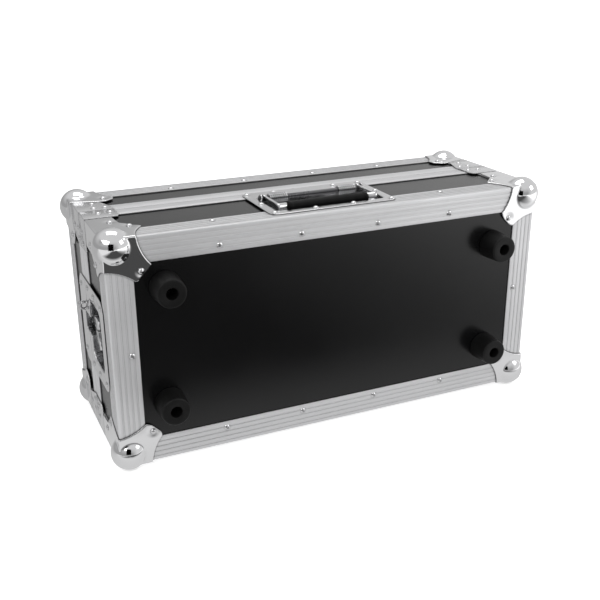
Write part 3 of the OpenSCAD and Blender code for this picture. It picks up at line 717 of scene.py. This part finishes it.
def camera():
    data = bpy.data.cameras.new("camera")
    data.lens = LENS
    data.sensor_width = 36
    data.clip_start = 0.01
    data.clip_end = 50
    obj = bpy.data.objects.new("camera", data)
    obj.matrix_world = (Matrix.Translation(CAMERA_PLACE)
                        @ Matrix.Rotation(math.radians(-CAMERA_YAW), 4, "Z")
                        @ Matrix.Rotation(math.radians(90 - CAMERA_DOWN), 4, "X")
                        @ Matrix.Rotation(math.radians(CAMERA_ROLL), 4, "Z"))
    bpy.context.scene.collection.objects.link(obj)
    bpy.context.scene.camera = obj


def softbox(name, place, target, size, power):
    data = bpy.data.lights.new(name, "AREA")
    data.shape = "RECTANGLE"
    data.size, data.size_y = size
    data.energy = power
    obj = bpy.data.objects.new(name, data)
    obj.location = place
    obj.rotation_mode = "QUATERNION"
    obj.rotation_quaternion = (Vector(target) - Vector(place)).to_track_quat("-Z", "Y")
    bpy.context.scene.collection.objects.link(obj)


def sheet(name, x0, x1, y0, y1, z):
    """A flat level piece of the studio, with no material yet."""
    mesh = bpy.data.meshes.new(name)
    mesh.from_pydata([(x0, y0, z), (x1, y0, z), (x1, y1, z), (x0, y1, z)], [], [(0, 1, 2, 3)])
    obj = bpy.data.objects.new(name, mesh)
    bpy.context.scene.collection.objects.link(obj)
    return obj


def for_reflections(obj):
    """Keeps a piece of the studio out of everything but reflections."""
    obj.visible_camera = obj.visible_diffuse = obj.visible_shadow = obj.visible_transmission = False


def glowing(name, colour, strength=0.0):
    """A material that shows only its own light."""
    return new_material(name, (0, 0, 0), 1.0, Specular_IOR_Level=0.0, Emission_Color=(*colour, 1),
                        Emission_Strength=strength)


def product(nodes, a, b):
    m = nodes.add("ShaderNodeMath", operation="MULTIPLY")
    nodes.link(a, m.inputs[0])
    nodes.link(b, m.inputs[1])
    return m.outputs[0]


def floor_in_mirrors():
    """The floor as reflections show it: light near the case, with a black cloth before it that ends at the
    right."""
    obj = sheet("floor_in_mirrors", -12, 12, -12, 12, -1 * MM)
    material, nodes, shader = glowing("floor_glow", (1, 1, 1))
    where = nodes.add("ShaderNodeTexCoord")
    split = nodes.add("ShaderNodeSeparateXYZ")
    nodes.link(where.outputs["Object"], split.inputs[0])
    x, y = split.outputs["X"], split.outputs["Y"]
    right_and_near = product(nodes, ranged(nodes, x, 0.05, 0.7, 1, 0), ranged(nodes, y, -0.3, -0.17, 1, 0))
    left_and_far = product(nodes, ranged(nodes, x, -0.75, -0.5, 0, 1), ranged(nodes, y, -2.4, -1.8, 0, 1))
    cloth = product(nodes, right_and_near, left_and_far)
    paper = product(nodes, ranged(nodes, y, -0.3, 0.1, 0.92, 0.5), ranged(nodes, x, 0.35, 0.9, 1, 1.6))
    nodes.link(product(nodes, paper, ranged(nodes, cloth, 0, 1, 1, 0.08)), shader.inputs["Emission Strength"])
    obj.data.materials.append(material)
    for_reflections(obj)


def backdrop():
    """A white dome that only the camera sees, so that low views have no horizon line."""
    bm = bmesh.new()
    bmesh.ops.create_uvsphere(bm, u_segments=48, v_segments=24, radius=28)
    mesh = bpy.data.meshes.new("backdrop")
    bm.to_mesh(mesh)
    bm.free()
    obj = bpy.data.objects.new("backdrop", mesh)
    bpy.context.scene.collection.objects.link(obj)
    obj.data.materials.append(glowing("backdrop_white", (1, 1, 1), 1.1)[0])
    obj.visible_glossy = obj.visible_diffuse = obj.visible_shadow = obj.visible_transmission = False


def dark_card(name, place, size):
    """A black card that only reflections show, turned to the case."""
    case_middle = Vector((0, 0, 0.14))
    wide, high = size[0] / 2, size[1] / 2
    obj = sheet(name, -wide, wide, -high, high, 0)
    obj.rotation_mode = "QUATERNION"
    obj.rotation_quaternion = (case_middle - Vector(place)).to_track_quat("-Z", "Y")
    obj.location = place
    obj.data.materials.append(glowing(name, (0, 0, 0))[0])
    for_reflections(obj)


def surroundings():
    """A white room for light and reflections, dimmer low down on the left."""
    world = bpy.data.worlds.new("world")
    bpy.context.scene.world = world
    world.use_nodes = True
    nodes = Nodes(world.node_tree)
    where = nodes.add("ShaderNodeTexCoord")
    split = nodes.add("ShaderNodeSeparateXYZ")
    nodes.link(where.outputs["Generated"], split.inputs[0])
    background = world.node_tree.nodes["Background"]
    background.inputs["Color"].default_value = (1, 1, 1, 1)
    blend = nodes.add("ShaderNodeMix", data_type="FLOAT")
    nodes.link(ranged(nodes, split.outputs["Z"], 0.2, 0.7, 0, 1), blend.inputs[0])
    nodes.link(ranged(nodes, split.outputs["X"], 0.15, 0.6, 0.38, 0.75), blend.inputs[2])
    blend.inputs[3].default_value = 0.72
    nodes.link(blend.outputs[0], background.inputs["Strength"])


def studio():
    centre = (cad_low + cad_high) / 2
    floor = sheet("floor", -30, 30, -30, 30, 0)
    paper, _, _ = new_material("paper", (0.9, 0.9, 0.9), 0.9, Emission_Color=(1, 1, 1, 1),
                               Emission_Strength=0.6)
    floor.data.materials.append(paper)
    floor.visible_glossy = False
    floor_in_mirrors()
    backdrop()
    dark_card("camera_card", (-0.5, -1.06, 0.5), (0.6, 0.72))
    surroundings()
    softbox("key", (-1.6, -1.5, 1.9), centre, (1.2, 0.9), 10)
    softbox("fill", (1.9, -1.3, 1.5), centre, (1.0, 0.8), 8)
    softbox("top", (0.1, 0.5, 2.3), centre, (1.6, 1.0), 12)
    bpy.context.scene.view_settings.view_transform = "Standard"


camera()
panels_and_profiles()
closing_shadow_lines()
corners()
all_rivets()
feet()
handle()
latches()
linings()
studio()
